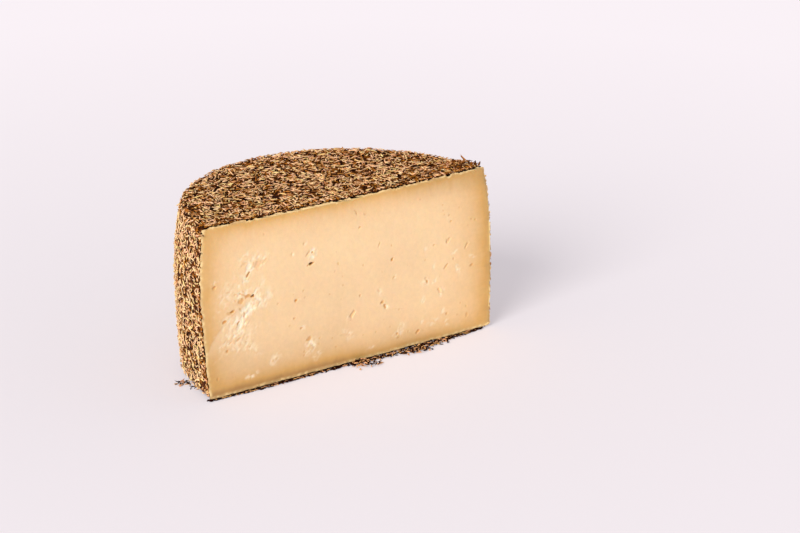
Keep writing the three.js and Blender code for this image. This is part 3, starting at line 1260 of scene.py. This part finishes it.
def rim_spots(wheel, rng, count):
    """Places close behind the cut, along its left, upper and right edges."""
    radius, level = side_curve(wheel, 0.0)
    cut_y = cut_middle(wheel)[1]
    behind = rng.uniform(0.0, RIM_BITS_DEPTH, count)
    along = rng.uniform(-1, 1, count) * (wheel.radius + wheel.height)
    on_top = np.abs(along) < radius[-1]
    z = np.where(on_top, level[-1], level[-1] - (np.abs(along) - radius[-1]))
    z = np.maximum(z, level[0])
    r = np.interp(z, level, radius)
    centre_x, centre_y = centre_at(wheel, z)
    half = np.sqrt(r ** 2 - (cut_y + behind - centre_y) ** 2)
    x = centre_x + np.where(on_top, along, np.sign(along) * half)
    dish = np.where(on_top, wheel.top_dish * (1 - (along / wheel.radius) ** 2), 0)
    zeros = np.zeros(count)
    upward = on_top[:, None]
    return places_at(
        np.stack([x, cut_y + behind, z - dish], -1),
        out=np.where(upward, (0.0, 0.0, 1.0), np.stack([np.sign(along), zeros, zeros], -1)),
        around=(0.0, 1.0, 0.0),
        across=np.where(upward, (1.0, 0.0, 0.0), (0.0, 0.0, 1.0)),
        noise=np.stack([along + 1, behind + 1], -1),
    )


def join(*parts):
    """One set of places, or of needles, out of several."""
    return {key: np.concatenate([part[key] for part in parts]) for key in parts[0]}


def pick(spots, keep):
    """The needles that are marked to be kept."""
    return {key: value[keep] for key, value in spots.items()}


# Length and width of a broken bit, from and to, in metres.
BIT_LENGTH = (0.0008, 0.0021)
BIT_WIDTH = (0.00045, 0.00095)

# The tilt of most needles as a normal spread, and of the few stray ones, in degrees.
TILT = 8.0
STRAY_TILT = (18, 40)

# At the cut: the share of needles that stand past it, by how much those do and the others end
# short of it, and the shortest end of a needle that is kept, in metres.
PAST_CUT = 0.06
CUT_RAGGED = (0.0002, 0.0009)
SHORTEST_END = 0.0009
FAR_IN_FRONT = -1.0

# The layer grows to its full depth over this way behind the cut, in metres.
FULL_LAYER_FROM = 0.02


def needle_sizes(herbs, rng, places, bits):
    """Length and width of each needle, spread as powers of e. Those on an edge are shorter, and
    broken bits are spread evenly."""
    edge = places["edge"].clip(0, 1)
    count = len(edge)
    if bits:
        length, width = rng.uniform(*BIT_LENGTH, count), rng.uniform(*BIT_WIDTH, count)
    else:
        length = herbs.length * np.exp(0.34 * rng.standard_normal(count)).clip(0.45, 1.9)
        width = herbs.width * np.exp(0.17 * rng.standard_normal(count)).clip(0.6, 1.5)
    return length * (places["size"] * (1 - 0.3 * edge)), width


def needle_directions(rng, places, stray):
    """The way each needle points, and its tilt. In the surface the way is random, turned along
    the edge where the surface bends over. It tilts up a little, and a few needles much more."""
    edge = places["edge"].clip(0, 1)
    count = len(edge)
    turn = rng.uniform(0, 2 * math.pi, count)
    along, over = np.cos(turn), np.sin(turn) * (1 - 0.65 * edge)
    size = np.hypot(along, over)
    flat = (along / size)[:, None] * places["around"] + (over / size)[:, None] * places["across"]
    tilt = np.radians(TILT) * np.abs(rng.standard_normal(count)) * (1 - 0.6 * edge)
    lifted = rng.random(count) < stray
    tilt = np.where(lifted, np.radians(rng.uniform(*STRAY_TILT, count)), tilt)
    return flat * np.cos(tilt)[:, None] + places["out"] * np.sin(tilt)[:, None], tilt


def needle_levels(herbs, rng, places):
    """How high in the layer each needle lies, from 0 to 1, and the noise that heaps them. One
    half lies low and the other mostly high."""
    heap = layered(places["noise"], herbs.clump, herbs.seed + 30, 3)
    count = len(heap)
    low = rng.random(count) < 0.5
    share = np.where(low, 0.42, 1.0) * rng.random(count) ** np.where(low, 1.0, 0.45) + 0.25 * heap
    return share.clip(0, 1), heap


def left_behind_cut(rng, start, end, cut_y, trim):
    """Which ends of the needles are cut off, and from where to where along each one is left: 0
    at its start and 1 at its end. Most end short of the cut, and a few stand past it. Without
    trim the plane that cuts them is far in front, and all stay whole."""
    count = len(start)
    overhang = np.where(
        rng.random(count) < PAST_CUT,
        rng.uniform(*CUT_RAGGED, count),
        rng.uniform(-CUT_RAGGED[1], -CUT_RAGGED[0], count),
    )
    plane = cut_y - overhang if trim else np.full(count, FAR_IN_FRONT)
    run = end[:, 1] - start[:, 1]
    run = np.where(np.abs(run) < NO_EDGE, NO_EDGE, run)
    crossing = (plane - start[:, 1]) / run
    cut_start, cut_end = start[:, 1] < plane, end[:, 1] < plane
    return cut_start, cut_end, np.where(cut_start, crossing, 0.0), np.where(cut_end, crossing, 1.0)


def lay_needles(wheel, herbs, rng, places, stray=0.03, bits=False, trim=True):
    """Lays one needle at each place. With trim, a needle that reaches past the cut is shortened
    there and marked as cut at that end. Gaps are left where the noise is low. Low needles are
    painted darker and high ones paler as painted shade in the gaps, needles laid below full size,
    round the side, are painted paler as painted light, and those on an edge get painted shade.
    Those along the cut are darker."""
    out, edge = places["out"], places["edge"].clip(0, 1)
    count = len(edge)
    cut_y = cut_middle(wheel)[1]
    length, width = needle_sizes(herbs, rng, places, bits)
    ahead, tilt = needle_directions(rng, places, stray)
    share, heap = needle_levels(herbs, rng, places)
    behind_cut = places["place"][:, 1] - cut_y
    full = smooth_step(0, FULL_LAYER_FROM, behind_cut)
    reach = (herbs.highest - herbs.lowest) * places["layer"] * (0.6 + 0.4 * full)
    height = herbs.lowest + reach * share + 0.2 * np.sin(tilt) * length
    height -= wheel.pressed_in * full
    height += places["lift"] * smooth_step(0.004, 0.0, behind_cut)
    middle = places["place"] + out * height[:, None]
    start = middle - ahead * (length / 2)[:, None]
    end = middle + ahead * (length / 2)[:, None]
    cut_start, cut_end, from_t, to_t = left_behind_cut(rng, start, end, cut_y, trim)
    long_enough = (to_t - from_t) * length > SHORTEST_END
    keep = ~(cut_start & cut_end) & long_enough & (heap + 0.6 * rng.random(count) > -0.34)
    roll = rng.normal(0, 0.45, count)
    aside = np.cross(out, ahead)
    # Painted shade and light: low needles darker and high ones paler, the side's needles paler, and
    # needles on an edge darker.
    tone = -0.04 + 0.95 * share + 0.15 * rng.standard_normal(count) + 1.3 * (1 - places["size"])
    tone -= 0.22 * smooth_step(0.005, 0.001, np.abs(behind_cut)) + 0.14 * edge
    whole = {
        "start": start + (end - start) * from_t[:, None],
        "end": start + (end - start) * to_t[:, None],
        "up": out * np.cos(roll)[:, None] + aside * np.sin(roll)[:, None],
        "width": width,
        "fullness": rng.uniform(0.8, 1.25, count),
        "bend": rng.normal(0, 0.055, count),
        "arch": rng.normal(0.01, 0.02, count),
        "twist": rng.normal(0, 0.7, count),
        "tone": tone.clip(0, 1),
        "kind": rng.random(count),
        "cut_start": cut_start,
        "cut_end": cut_end,
    }
    return pick(whole, keep)


def make_top_needles(wheel, herbs):
    """The needles on the top, as a left and a right piece."""
    rng = np.random.default_rng(herbs.seed)
    spots = lay_needles(wheel, herbs, rng, flat_spots(wheel, rng, herbs.density, True))
    left = spots["start"][:, 0] < cut_middle(wheel)[0]
    make_needles("herb_needles_top_left", pick(spots, left))
    make_needles("herb_needles_top_right", pick(spots, ~left))


def make_side_needles(wheel, herbs):
    """The needles round the side and over its upper edge, as four pieces with equal angles."""
    rng = np.random.default_rng(herbs.seed + 1)
    places = join(side_spots(wheel, rng, herbs.density), shoulder_spots(wheel, rng, herbs.density))
    spots = lay_needles(wheel, herbs, rng, places)
    x, y = (spots["start"][:, :2] - cut_middle(wheel)).T
    words = ("right", "back_right", "back_left", "left")
    sector = np.clip(np.floor(len(words) * np.arctan2(y, x) / math.pi), 0, len(words) - 1)
    for number, word in enumerate(words):
        make_needles("herb_needles_side_" + word, pick(spots, sector == number))


def make_under_needles(wheel, herbs):
    """The needles on the underside, half as dense as elsewhere."""
    rng = np.random.default_rng(herbs.seed + 2)
    places = flat_spots(wheel, rng, 0.5 * herbs.density, False)
    make_needles("herb_needles_under", lay_needles(wheel, herbs, rng, places, stray=0.0))


# Heaps of loose needles at the foot and on the top: right, in front of the cut, level of the
# ground under the heap, radius along X, radius along Y, height, number of needles.
HEAPS = (
    (6.0, 5.6, 0.35, 7.5, 5.0, 3.0, 120),
    (27.0, 3.4, 0.35, 10.0, 2.4, 0.5, 50),
    (42.0, 6.0, 0.35, 9.0, 4.2, 0.7, 110),
    (56.0, 4.0, 0.35, 9.0, 3.0, 0.6, 50),
    (74.0, 1.2, 0.35, 12.0, 1.2, 0.5, 20),
    (-95.5, -31.0, 0.35, 4.2, 3.4, 1.8, 30),
    (-91.0, -21.0, 0.35, 4.5, 3.0, 1.2, 18),
    (81.0, -8.0, 102.8, 9.0, 6.0, 3.4, 170),
    (60.0, -10.0, 102.6, 12.0, 6.0, 1.4, 80),
)

# Needles that stand up from the edge of the top: right, behind the cut, length, tilt and turn in
# degrees. They are a little wider than others.
STANDING_WIDTH = 1.3
STANDING = (
    (94.0, 12.0, 8.0, 32, 114),
    (91.5, 14.5, 6.0, 26, 80),
    (87.2, 1.0, 7.4, 18, 22),
    (88.5, 2.6, 5.6, 30, 60),
    (90.5, 4.5, 5.6, 28, 40),
    (85.5, 8.0, 6.0, 34, 150),
    (81.0, 19.0, 5.0, 34, 120),
    (91.5, 1.5, 4.6, 35, 70),
    (89.5, 0.8, 4.2, 28, 140),
    (92.0, 3.0, 4.4, 40, 20),
    (86.0, 2.5, 4.8, 24, 160),
    (91.0, 7.0, 4.6, 38, 100),
    (90.0, 9.5, 4.2, 30, 200),
    (84.0, 4.0, 4.4, 26, 40),
    (88.0, 6.0, 4.4, 36, 260),
    (77.0, 2.0, 4.4, 28, 30),
    (72.0, 26.0, 4.6, 32, 90),
)


def heap_spots(wheel, rng):
    """Places of the needles in the heaps: strewn with a normal spread round each heap's middle,
    and higher near it."""
    middle_x, cut_y = cut_middle(wheel)
    parts = []
    for right, front, level, radius_x, radius_y, height, count in HEAPS:
        away = rng.standard_normal((count, 2)).clip(-1.7, 1.7) / 1.7
        rise = height * (1 - (away ** 2).sum(1) / 2) * rng.random(count)
        x, y = right + radius_x * away[:, 0], -front + radius_y * away[:, 1]
        parts.append(np.stack([middle_x + x * MM, cut_y + y * MM, (level + rise) * MM], -1))
    return level_places(np.concatenate(parts), shift=3, edge=0.5, layer=0.3)


def standing_spots(wheel, herbs, rng):
    """The needles that stand up from the edge of the top."""
    middle_x, cut_y = cut_middle(wheel)
    right, behind, length, tilt, turn = np.array(STANDING).T
    tilt, turn = np.radians(tilt), np.radians(turn)
    ahead = np.stack([np.cos(turn) * np.cos(tilt), np.sin(turn) * np.cos(tilt), np.sin(tilt)], -1)
    top = wheel.foot_gap + wheel.height
    start = np.stack([middle_x + right * MM, cut_y + behind * MM, np.full(len(right), top)], -1)
    count = len(right)
    uncut = np.zeros(count, bool)
    return {
        "start": start,
        "end": start + ahead * (length * MM)[:, None],
        "up": np.tile((0.1, -0.4, 1.0), (count, 1)),
        "width": np.full(count, STANDING_WIDTH * herbs.width),
        "fullness": np.ones(count),
        "bend": rng.normal(0, 0.08, count),
        "arch": rng.normal(0, 0.05, count),
        "twist": rng.normal(0, 0.7, count),
        "tone": rng.uniform(0.12, 0.5, count),
        "kind": rng.random(count),
        "cut_start": uncut,
        "cut_end": uncut,
    }


# Most needles at the foot are dark, as painted shade on the ground and under the cut. The share
# of pale ones and their tone: in the heaps, and in the row under the cut.
FALLEN_PALE = (0.42, 0.66)
FOOT_PALE = (0.16, 0.65)


def make_loose_needles(wheel, herbs):
    """The heaps of fallen needles at the foot and on the top, and the few that stand up."""
    rng = np.random.default_rng(herbs.seed + 4)
    fallen = lay_needles(wheel, herbs, rng, heap_spots(wheel, rng), 0.12, trim=False)
    count = len(fallen["tone"])
    on_top = fallen["start"][:, 2] > wheel.height / 2
    pale, tone = FALLEN_PALE
    # Painted shade: most needles at the foot take the darkest tone.
    shaded_foot_tone = tone * (rng.random(count) < pale)
    fallen["tone"] = np.where(on_top, rng.uniform(0.1, 0.85, count), shaded_foot_tone)
    make_needles("herb_needles_loose", join(fallen, standing_spots(wheel, herbs, rng)))


# How far in front of the cut the needles at its foot reach: right, and front.
FOOT_LINE = (
    (-97, 0.2), (-80, 0.8), (-60, 2.3), (-40, 2.0), (-20, 1.5), (-5, 2.6), (10, 3.6), (30, 4.2),
    (45, 7.0), (60, 5.0), (80, 2.5), (96, 0.8),
)

# The row at the foot: its number of needles, and how far behind the cut it begins.
FOOT_COUNT = 1100
BEHIND_FOOT = 1.5


def make_foot_edge(wheel, herbs):
    """The row of needles that shows between the ground and the cut face."""
    rng = np.random.default_rng(herbs.seed + 6)
    middle_x, cut_y = cut_middle(wheel)
    right = rng.uniform(FOOT_LINE[0][0], FOOT_LINE[-1][0], FOOT_COUNT)
    farthest = np.interp(right, *np.array(FOOT_LINE).T)
    front = -BEHIND_FOOT + (BEHIND_FOOT + farthest) * rng.random(FOOT_COUNT)
    up = rng.uniform(0.2, 0.6, FOOT_COUNT)
    place = np.stack([middle_x + right * MM, cut_y - front * MM, up * MM], -1)
    places = level_places(place, shift=4, edge=0.9, layer=0.1)
    spots = lay_needles(wheel, herbs, rng, places, 0.03, trim=False)
    pale, tone = FOOT_PALE
    # Painted shade: most of the row takes the darkest tone.
    spots["tone"] = tone * (rng.random(len(spots["tone"])) < pale)
    make_needles("herb_needles_foot", spots)


# Broken bits: the share of the needles' density on the top, on the side and on the edge between
# them, and how many lie along the cut and how far behind it in metres.
CRUMB_SHARES = (0.35, 0.25, 0.4)
RIM_BITS = 1500
RIM_BITS_DEPTH = 0.0022


def make_crumbs(wheel, herbs):
    """Short broken bits between the needles, over the top and the side."""
    rng = np.random.default_rng(herbs.seed + 3)
    on_top, on_side, on_edge = (share * herbs.density for share in CRUMB_SHARES)
    top = flat_spots(wheel, rng, on_top, True)
    side = side_spots(wheel, rng, on_side)
    shoulder = shoulder_spots(wheel, rng, on_edge)
    rim = rim_spots(wheel, rng, RIM_BITS)
    spots = lay_needles(wheel, herbs, rng, join(top, side, shoulder, rim), 0.1, bits=True)
    make_needles("herb_crumbs", spots)


# ---------------------------------------------------------------------------------------------
# The stage

# The floor: how far it reaches in metres, its rings and spokes of points, how its colour is split
# between paint and a weak glow, and the tint of the glow.
FLOOR_RADIUS = 9.0
FLOOR_RINGS = 24
FLOOR_SPOKES = 96
FLOOR_PAINT = (0.55, 0.55, 0.55, 1.0)
FLOOR_GLOW = 0.53
GLOW_TINT = (0.86, 0.825, 0.835, 1.0)
NO_GLOW = (0.0, 0.0, 0.0, 1.0)

# Tint of the main light.
LAMP_TINT = (1.0, 0.985, 0.975)

# In metres: where the glow comes back outside the foot of the cheese, measured in from its edge,
# and where it goes, measured back from the cut.
GLOW_FROM_FOOT = (0.006, 0.001)
GLOW_FROM_CUT = (-0.001, 0.003)


def covered_floor(tree, place):
    """1 where the cheese covers the floor and 0 elsewhere: behind the cut and within the radius."""
    wheel = wheel_settings()
    cut_y = cut_middle(wheel)[1]
    centre = (*centre_at(wheel, wheel.foot_gap), 0.0)
    away = tree.node("ShaderNodeVectorMath", {0: place, 1: centre}, operation="DISTANCE")
    foot = wheel.radius - wheel.foot_taper
    near, far = (foot - way for way in GLOW_FROM_FOOT)
    inside = tree.spread(away.outputs["Value"], near, far, 1.0, 0.0)
    front, back = (cut_y + way for way in GLOW_FROM_CUT)
    depth = tree.node("ShaderNodeSeparateXYZ", {0: place}).outputs["Y"]
    return tree.times(inside, tree.spread(depth, front, back))


def floor_material(stage):
    """Floor paper: painted shade makes it a little darker towards the cheese, and it is faintly
    mottled. It gives off part of its light itself, so that shadows stay weak, but not where the
    cheese covers it."""
    material, tree, shader = new_material("floor_paper", Specular_IOR_Level=0.15, Roughness=0.85)
    place = tree.object_place()
    away = tree.node("ShaderNodeVectorMath", {0: place}, operation="LENGTH").outputs["Value"]
    shade = tree.spread(tree.noise(place, 1.3, 2.0), 0.3, 0.7, 0.992, 1.0)
    # Painted shade: darker towards the middle of the floor, where the cheese stands.
    shade = tree.times(shade, tree.spread(away, 0.15, 0.75, 0.90, 1.0))
    colour = tree.shaded(linear(stage.floor), shade)
    lit = tree.mix(1.0, colour, GLOW_TINT, "MULTIPLY")
    lit = tree.mix(covered_floor(tree, place), lit, NO_GLOW)
    tree.link(lit, shader.inputs["Emission Color"])
    shader.inputs["Emission Strength"].default_value = FLOOR_GLOW
    tree.link(tree.mix(1.0, colour, FLOOR_PAINT, "MULTIPLY"), shader.inputs["Base Color"])
    return material


def make_floor(stage):
    """A round floor, level under the cheese and far beyond the camera, as rings of points whose
    radius grows steadily."""
    radius = np.linspace(0, FLOOR_RADIUS, FLOOR_RINGS)[:, None]
    angle = np.linspace(0, 2 * math.pi, FLOOR_SPOKES, endpoint=False)[None, :]
    points = np.stack([radius * np.cos(angle), radius * np.sin(angle), 0 * radius * angle], -1)
    index = np.arange(FLOOR_RINGS * FLOOR_SPOKES).reshape(FLOOR_RINGS, FLOOR_SPOKES)
    after = np.roll(index, -1, 1)
    quads = np.stack([index[:-1], index[1:], after[1:], after[:-1]], -1).reshape(-1, 4)
    mesh = new_mesh("floor", points.reshape(-1, 3), [quads])
    close_seams(mesh)
    floor = bpy.data.objects.new("floor", mesh)
    bpy.context.scene.collection.objects.link(floor)
    mesh.materials.append(floor_material(stage))


def direction(azimuth, elevation):
    """From the cheese towards a place at that azimuth and height angle. Azimuth 0 is along -Y."""
    flat = math.cos(elevation)
    return Vector((math.sin(azimuth) * flat, -math.cos(azimuth) * flat, math.sin(elevation)))


def make_lights(stage):
    """Even light from all round, a pale wall where the camera looks past the floor, and one soft
    main light from the side."""
    world = bpy.data.worlds.new("studio")
    bpy.context.scene.world = world
    world.use_nodes = True
    tree = Tree(world.node_tree)
    around = world.node_tree.nodes["Background"]
    around.inputs["Color"].default_value = linear(stage.sky)
    around.inputs["Strength"].default_value = stage.sky_strength
    wall = tree.node("ShaderNodeBackground", {"Color": linear(stage.wall), "Strength": 1.0})
    seen = tree.node("ShaderNodeLightPath").outputs["Is Camera Ray"]
    shown = tree.node("ShaderNodeMixShader", {0: seen, 1: around.outputs[0], 2: wall.outputs[0]})
    output = world.node_tree.nodes["World Output"]
    tree.link(shown.outputs[0], output.inputs["Surface"])
    lamp = bpy.data.lights.new("key", "SUN")
    lamp.angle = stage.key_spread
    lamp.energy = stage.key_strength
    lamp.color = linear(LAMP_TINT)[:3]
    key = bpy.data.objects.new("key", lamp)
    bpy.context.scene.collection.objects.link(key)
    towards = direction(stage.key_azimuth, stage.key_elevation)
    key.location = towards
    key.rotation_mode = "QUATERNION"
    key.rotation_quaternion = towards.to_track_quat("Z", "Y")


def make_camera(wheel, stage):
    """The camera, turned towards a place near the middle of the cut."""
    data = bpy.data.cameras.new("camera")
    data.sensor_width = 36.0
    data.lens = stage.lens
    data.clip_start, data.clip_end = 0.02, 60.0
    camera = bpy.data.objects.new("camera", data)
    bpy.context.scene.collection.objects.link(camera)
    middle_x, cut_y = cut_middle(wheel)
    aim = Vector((middle_x, cut_y, 0.0)) + Vector(stage.aim)
    place = aim + direction(stage.azimuth, stage.elevation) * stage.distance
    turn = (
        Matrix.Rotation(stage.azimuth, 4, "Z")
        @ Matrix.Rotation(math.pi / 2 - stage.elevation, 4, "X")
        @ Matrix.Rotation(stage.roll, 4, "Z")
    )
    camera.matrix_world = Matrix.Translation(place) @ turn
    bpy.context.scene.camera = camera


# ---------------------------------------------------------------------------------------------
# Operators and panel


class CHEESE_OT_cheese(bpy.types.Operator):
    """Make the cheese with its cut face"""

    bl_idname = "cheese.make_cheese"
    bl_label = "Cheese"

    def execute(self, context):
        make_cheese(wheel_settings(), paste_settings())
        return {"FINISHED"}


class CHEESE_OT_bed(bpy.types.Operator):
    """Make the layer of fine crumbs that the needles stick in"""

    bl_idname = "cheese.make_bed"
    bl_label = "Herb bed"

    def execute(self, context):
        make_bed(wheel_settings(), herb_settings())
        return {"FINISHED"}


class CHEESE_OT_top(bpy.types.Operator):
    """Lay the herb needles on the top"""

    bl_idname = "cheese.make_top_needles"
    bl_label = "Needles on the top"

    def execute(self, context):
        make_top_needles(wheel_settings(), herb_settings())
        return {"FINISHED"}


class CHEESE_OT_side(bpy.types.Operator):
    """Lay the herb needles round the side"""

    bl_idname = "cheese.make_side_needles"
    bl_label = "Needles round the side"

    def execute(self, context):
        make_side_needles(wheel_settings(), herb_settings())
        return {"FINISHED"}


class CHEESE_OT_under(bpy.types.Operator):
    """Lay the herb needles on the underside"""

    bl_idname = "cheese.make_under_needles"
    bl_label = "Needles underneath"

    def execute(self, context):
        make_under_needles(wheel_settings(), herb_settings())
        return {"FINISHED"}


class CHEESE_OT_foot(bpy.types.Operator):
    """Lay the needles along the foot of the cut, the fallen ones and those that stand up"""

    bl_idname = "cheese.make_foot_needles"
    bl_label = "Needles at the foot"

    def execute(self, context):
        make_foot_edge(wheel_settings(), herb_settings())
        make_loose_needles(wheel_settings(), herb_settings())
        return {"FINISHED"}


class CHEESE_OT_crumbs(bpy.types.Operator):
    """Strew the broken bits between the needles"""

    bl_idname = "cheese.make_crumbs"
    bl_label = "Herb crumbs"

    def execute(self, context):
        make_crumbs(wheel_settings(), herb_settings())
        return {"FINISHED"}


class CHEESE_OT_stage(bpy.types.Operator):
    """Make the floor, the lights and the camera"""

    bl_idname = "cheese.make_stage"
    bl_label = "Stage"

    def execute(self, context):
        make_floor(stage_settings())
        make_lights(stage_settings())
        make_camera(wheel_settings(), stage_settings())
        context.scene.view_settings.view_transform = "Standard"
        return {"FINISHED"}


STEPS = (
    CHEESE_OT_stage,
    CHEESE_OT_cheese,
    CHEESE_OT_bed,
    CHEESE_OT_top,
    CHEESE_OT_side,
    CHEESE_OT_under,
    CHEESE_OT_foot,
    CHEESE_OT_crumbs,
)


class CHEESE_PT_panel(bpy.types.Panel):
    """The steps that make the half cheese"""

    bl_idname = "CHEESE_PT_panel"
    bl_label = "Herb-coated half cheese"
    bl_space_type = "VIEW_3D"
    bl_region_type = "UI"
    bl_category = "Cheese"

    def draw(self, context):
        for step in STEPS:
            self.layout.operator(step.bl_idname)


SETTINGS = {
    "cheese_wheel": WheelSettings,
    "cheese_paste": PasteSettings,
    "cheese_herbs": HerbSettings,
    "cheese_stage": StageSettings,
}


def register():
    """Adds the settings, the steps and the panel."""
    for kind in (*SETTINGS.values(), *STEPS, CHEESE_PT_panel):
        bpy.utils.register_class(kind)
    for name, kind in SETTINGS.items():
        setattr(bpy.types.Scene, name, PointerProperty(type=kind))


def unregister():
    """Takes them away again."""
    for name in SETTINGS:
        delattr(bpy.types.Scene, name)
    for kind in reversed((*SETTINGS.values(), *STEPS, CHEESE_PT_panel)):
        bpy.utils.unregister_class(kind)


def main():
    """Makes the stage and every piece."""
    register()
    bpy.ops.cheese.make_stage()
    bpy.ops.cheese.make_cheese()
    bpy.ops.cheese.make_bed()
    bpy.ops.cheese.make_top_needles()
    bpy.ops.cheese.make_side_needles()
    bpy.ops.cheese.make_under_needles()
    bpy.ops.cheese.make_foot_needles()
    bpy.ops.cheese.make_crumbs()


if __name__ == "__main__":
    main()
